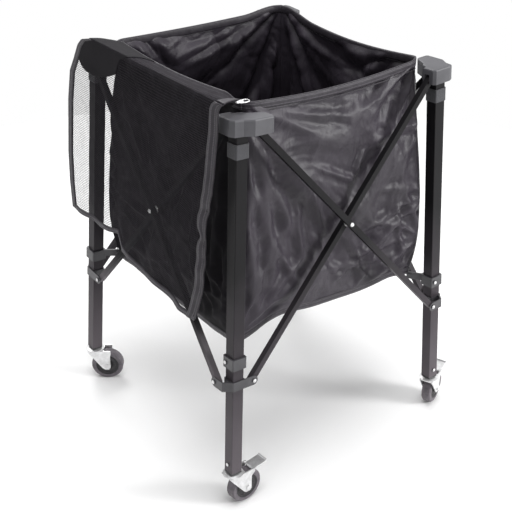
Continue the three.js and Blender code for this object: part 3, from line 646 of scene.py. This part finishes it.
def floor_patch(name, low_x, high_x, low_y, high_y, rests_on):
    def place(u, v):
        return floor_point(low_x + u * (high_x - low_x), low_y + v * (high_y - low_y))

    patch = grid(f"bag_floor_{name}", 36, 36, place, cloth, cloth_wall, 0.0)
    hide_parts("bag_floor")
    0.235 * (high_x - low_x)
    0.235 * (high_y - low_y)
    return patch


inner = 0.4
for sign, name in zip(((-1, -1), (1, -1), (1, 1), (-1, 1)), corners):
    across, along = (sorted((inner * way, way)) for way in sign)
    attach(floor_patch(name, *across, *along, f"upper_bracket_{name}"), f"leg_{name}")
for way, name in zip(((0, -1), (1, 0), (0, 1), (-1, 0)), sides):
    across, along = (sorted((inner * way[k], way[k])) if way[k] else (-inner, inner) for k in (0, 1))
    patch = floor_patch(name, *across, *along, f"bag_side_{name}")
    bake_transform(patch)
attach(floor_patch("middle", -inner, inner, -inner, inner, "bag_floor_front_right"), "bag")

# The lid is black open net with a bound edge. It hangs down over the bars from a flap on the rim, out
# past the left leg, and its near edge carries the zip. Its outline is in three tables: how far down
# its low edge is across the lid, and how far across its far and near edges are on the way down. It
# stands off the legs' plane, and its top turns up and out to the line that it swings on.
net = Finish("lid_mesh", Roughness=0.75, Specular_IOR_Level=0.06)
net.feed(Base_Color=net.clouded(net.noise(60, 3), (0.030, 0.027, 0.032), (0.046, 0.042, 0.049)))
lid_low = ((0, 0.88), (0.073, 0.884), (0.174, 0.873), (0.247, 0.88), (0.328, 0.867), (0.392, 0.849),
           (0.431, 0.922), (0.521, 0.942), (0.625, 0.964), (0.734, 0.969), (0.844, 0.982), (0.892, 1))
lid_far = ((0, 0.19), (0.018, 0.13), (0.05, 0.092), (0.1, 0.056), (0.184, 0.012), (0.33, -0.01),
           (0.594, -0.024), (0.75, -0.018), (0.884, 0))
lid_near = ((0, 1.07), (0.01, 1.055), (0.03, 1.043), (0.064, 1.037), (0.139, 1.03), (0.267, 1.02),
            (0.372, 1.016), (0.445, 1.0), (0.493, 0.99), (0.610, 0.984), (0.72, 0.986),
            (0.843, 0.976), (0.963, 0.942), (1, 0.925))
lid_wide, lid_high, lid_past, lid_top, lid_off = 0.518, 0.45, 0.057, 0.8475, 0.0365
hinge_from, hinge_share, hinge_up, hinge_out = 0.86, 0.14, 0.0065, 0.0051
lid_sag, lid_wave, lid_ruffle = 0.013, 0.0017, 0.0016
net_thread, flap_thread, hem_wall, tape_wall, strip_start = 0.0013, 0.0020, 0.0028, 0.0022, 0.1


def look_up(table, key):
    if key <= table[0][0]:
        return table[0][1]
    for (low_key, low), (high_key, high) in zip(table, table[1:]):
        if key <= high_key:
            return low + (high - low) * (key - low_key) / (high_key - low_key)
    return table[-1][1]


def rim_share(along):
    return min(1.0, max(0.0, (along + bag_half) / (2 * bag_half)))


def lid_along(u, drop):
    """Where a point of the lid is along its side, in metres from the side's middle."""
    far = look_up(lid_far, drop)
    return (far + u * (look_up(lid_near, drop) - far)) * lid_wide - half_spacing - lid_past


def lid_point(u, v, out=0.0):
    """A point of the lid: u runs across from its far end and v up to the line that it swings on."""
    drop = (1 - v) * look_up(lid_low, u)
    along = lid_along(u, drop)
    hinge = smooth((v - hinge_from) / hinge_share)
    sag = lid_sag * math.sin(math.pi * rim_share(along)) * (1 - drop) ** 3 * (1 - hinge)
    level = lid_top - sag - drop * lid_high + hinge_up * hinge
    out += lid_off + lid_wave * (1 - math.cos(10 * math.pi * u)) * (1 - v * v)
    out += lid_ruffle * noise.noise(Vector((u * 7, v * 2.5, 7.7))) * (1 - v) + hinge_out * hinge
    return side_frames[lid_side] @ Vector((along, -out, (level - cap_under) * math.hypot(1, slope)))


def flap_point(u, w, out=0.0):
    """A point of the flap: u runs as on the lid, and w from the bag's rim out to the lid's top."""
    rim = panel_point(lid_side, rim_share(lid_along(u, 0)), 1, 0, True)
    return rim.lerp(lid_point(u, 1), w) + Vector((0, 0, 0.003 * math.sin(math.pi * w) + out))


def netting(name, columns, rows, place, thread):
    """A sheet of square threads: a grid with a hole in each of its faces."""
    piece = grid(name, columns, rows, place, net, 0)
    mesh = bmesh.new()
    mesh.from_mesh(piece.data)
    holes = mesh.faces[:]
    bmesh.ops.inset_individual(mesh, faces=holes, thickness=thread / 2, depth=0)
    bmesh.ops.delete(mesh, geom=holes, context="FACES")
    mesh.to_mesh(piece.data)
    mesh.free()
    return piece


def on_lid(piece):
    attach(piece, "lid")
    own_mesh(piece)


def upright(u, v):
    """The UV map of a strip that runs up the lid: metres along it, and a share that meets the stitches."""
    return v * 0.45, strip_start + u * 0.1


# A dark sheet of the cloth in painted shade under the net, at the lid's top far corner.
def lid_shade_sheet_point(u, v):
    deep = 0.09 + 0.08 * math.sin(math.pi * u ** 0.8)
    return lid_point(0.012 + u * 0.31, 1 - (1 - v) * deep)


def tape_point(u, v):
    """A point of the zip's tape, which is pinched at one place and waves a little."""
    width = 0.050 * (1 - 0.4 * bell(v, 0.42, 0.03))
    wave = 0.0016 * math.sin(9 * v + 2.5 * math.sin(23 * v)) * math.sin(math.pi * min(1, v * 1.2))
    return lid_point(1 - width * (1 - u), v, 0.0012 + wave + 0.0012 * math.sin(2 * math.pi * u))


lid_net = netting("lid_net", 122, 100, lid_point, net_thread)
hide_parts("lid")
far_hem = grid("lid_far_hem", 4, 90, lambda u, v: lid_point(u * 0.034, v), seam, hem_wall, 0.0, upright)
low_hem = grid("lid_low_hem", 130, 4, lambda u, v: lid_point(u, v * 0.026), seam, hem_wall, 0.0,
               lambda u, v: (u * 0.5, strip_start + v * 0.1))
lid_shade_sheet = grid("lid_shade_sheet", 30, 24, lid_shade_sheet_point, shaded, 0.0020, 0.0)
tape = grid("lid_zip_tape", 12, 150, tape_point, seam, tape_wall, 0.0,
            lambda u, v: (v * 0.45, strip_start + u * 0.2))
coil_steps, coil_crest, coil_root = 280, 0.0015, 0.0010
outward = (side_frames[lid_side].to_3x3() @ Vector((0, -1, 0))).normalized()
rings = []
for k in range(coil_steps + 1):
    v, radius = k / coil_steps, coil_crest if k % 2 else coil_root
    edge, inward = tape_point(1, v), tape_point(0.9, v)
    sideways = (edge - inward).normalized()
    rings.append([edge + (sideways * math.cos(a) + outward * math.sin(a)) * radius for a in circle(6)])
lid_zip = sweep("lid_zip", rings, seam, [0.44 * k / coil_steps for k in range(coil_steps + 1)])
for piece in (lid_net, far_hem, low_hem, lid_shade_sheet, tape, lid_zip):
    on_lid(piece)

# The flap joins the bag's rim to the line that the lid swings on. It is the same net, with a sheet of the
# cloth in painted shade over its far end and the zip's tape along its near one.
flap = netting("flap_net", 122, 10, flap_point, flap_thread)
flap_shade_sheet = grid("flap_shade_sheet", 30, 10, lambda u, w: flap_point(u * 0.322, w, 0.0004), shaded,
                  cloth_wall, 0.0)
flap_tape = grid("flap_zip_tape", 12, 30, lambda u, w: flap_point(1 - 0.045 * (1 - u), w, 0.0022), seam,
                 tape_wall, 0.0, lambda u, w: (w * 0.06, strip_start + u * 0.2))
for piece in (flap, flap_shade_sheet, flap_tape):
    hung(piece, lid_side)
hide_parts("bag_panel_left_front")

# The zip pull is a small slider with a wire ring, lying on the rim's corner at the flap's near end.
pull_at = middle + Vector((-0.223, -0.231, 0.843))
ring_long, ring_wide, ring_wire, ring_steps, slider_steps = 0.0105, 0.0062, 0.0011, 40, 8
rings = []
for k in range(ring_steps + 1):
    a = 2 * math.pi * k / ring_steps
    centre = Vector((ring_long * math.copysign(abs(math.cos(a)) ** 0.6, math.cos(a)),
                     ring_wide * math.copysign(abs(math.sin(a)) ** 0.7, math.sin(a)), 0.001))
    way = Vector((math.cos(a), math.sin(a), 0))
    rings.append([pull_at + centre + (way * math.cos(b) + Vector((0, 0, math.sin(b)))) * ring_wire
                  for b in circle(8)])
pull_ring = sweep("zip_pull_ring", rings, zinc, [0.04 * k / ring_steps for k in range(ring_steps + 1)])
rings = []
for k in range(slider_steps + 1):
    t = k / slider_steps
    width = 0.0048 * (0.55 + 0.45 * math.sin(math.pi * (0.15 + 0.7 * t)))
    thick = 0.0016 * (0.6 + 0.5 * math.sin(math.pi * t))
    rings.append([pull_at + Vector((-0.016 + 0.015 * t, width * math.cos(b), 0.0016 + thick * math.sin(b)))
                  for b in circle(12)])
slider = sweep("zip_slider", rings, zinc, [0.011 * k / slider_steps for k in range(slider_steps + 1)])
for piece in (pull_ring, slider):
    hung(piece, lid_side)
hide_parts("zip_pull")
